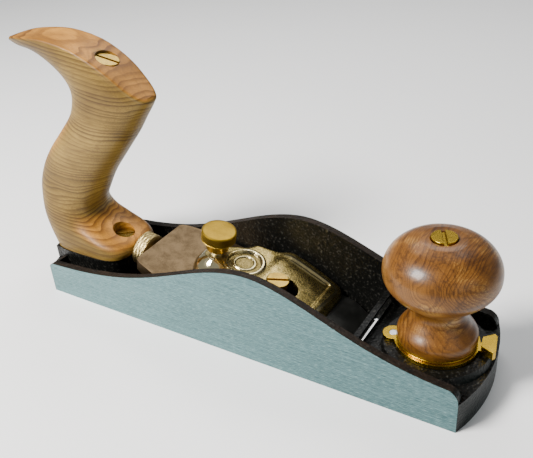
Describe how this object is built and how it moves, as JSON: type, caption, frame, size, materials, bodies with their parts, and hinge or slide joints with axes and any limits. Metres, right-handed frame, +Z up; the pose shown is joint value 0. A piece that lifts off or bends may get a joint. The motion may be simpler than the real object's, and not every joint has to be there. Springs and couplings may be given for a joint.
{
  "type": "low-angle smoothing plane",
  "caption": "Low-angle bench plane for smoothing wood, with an iron casting, horned wooden tote, round front knob, lever cap, screw depth adjuster and lever-set mouth.",
  "frame": {"origin": "on the sole, at mid length and mid width of the casting", "axes": "+X along the sole to the toe, +Y to the left of someone planing towards +X, +Z up, square to the sole"},
  "size_m": [0.269, 0.0624, 0.145],
  "materials": {
    "casting": "black enamel inside and on the ends, ground and brushed bright on the cheeks and sole",
    "ground_iron": "ground",
    "brass": "turned and polished",
    "bronze": "sand cast, antique, with polished edges",
    "steel": "turned",
    "blade_steel": "lapped and hardened, brownish grey",
    "knob_wood": "figured brown hardwood, oiled and polished",
    "tote_wood": "light brown hardwood with clear growth lines, satin oil"
  },
  "bodies": {
    "casting": {"body": "casting", "lever_pivot_pin": "steel", "tote": "tote_wood", "tote_rod": "steel", "tote_nut": "brass", "tote_toe_screw": "brass"},
    "mouth_lever": {"mouth_lever": "brass"},
    "mouth_plate": {"mouth_plate": "ground_iron"},
    "front_knob": {"knob": "knob_wood", "knob_washer": "brass", "knob_bolt": "steel", "knob_nut": "brass"},
    "iron": {"iron": "blade_steel", "adjuster_nut": "brass"},
    "adjuster": {"adjuster_screw": "steel", "adjuster_wheel": "brass"},
    "lever_cap": {"lever_cap": "bronze"},
    "cap_screw": {"cap_screw": "brass"},
    "thumbscrew": {"thumbscrew_head": "brass", "thumbscrew_stud": "steel"}
  },
  "joints": [
    {"name": "mouth_lever_swing", "type": "hinge", "parent": "casting", "child": "mouth_lever", "pos_m": [0.0815, -0.005, 0.0211], "axis": [0, 0, 1], "range_deg": [-15, 22]},
    {"name": "mouth_slide", "type": "slide", "parent": "casting", "child": "mouth_plate", "axis": [1, 0, 0], "range_m": [-0.00144, 0.00211]},
    {"name": "knob_turn", "type": "hinge", "parent": "mouth_plate", "child": "front_knob", "pos_m": [0.1008, 0, 0.04], "axis": [0, 0, 1], "range_deg": [0, 90]},
    {"name": "adjuster_turn", "type": "hinge", "parent": "casting", "child": "adjuster", "pos_m": [-0.06849, 0, 0.02312], "axis": [0.9781, 0, -0.2079], "range_deg": [-900, 288]},
    {"name": "iron_slide", "type": "slide", "parent": "casting", "child": "iron", "axis": [0.9781, 0, -0.2079], "range_m": [-0.00249, 0.0008]},
    {"name": "lever_cap_slide", "type": "slide", "parent": "casting", "child": "lever_cap", "axis": [0.9781, 0, -0.2079], "range_m": [-0.0057, 0]},
    {"name": "cap_screw_turn", "type": "hinge", "parent": "casting", "child": "cap_screw", "pos_m": [0.01414, 0, 0.01987], "axis": [0.2079, 0, 0.9781], "range_deg": [-180, 180]},
    {"name": "thumbscrew_turn", "type": "hinge", "parent": "lever_cap", "child": "thumbscrew", "pos_m": [-0.01868, 0, 0.04729], "axis": [0.2079, 0, 0.9781], "range_deg": [-180, 180]}
  ],
  "couplings": [
    {"joint": "mouth_lever_swing", "follows": "mouth_slide", "rad_per_m": 181.81},
    {"joint": "adjuster_turn", "follows": "iron_slide", "rad_per_m": 6283.2}
  ]
}
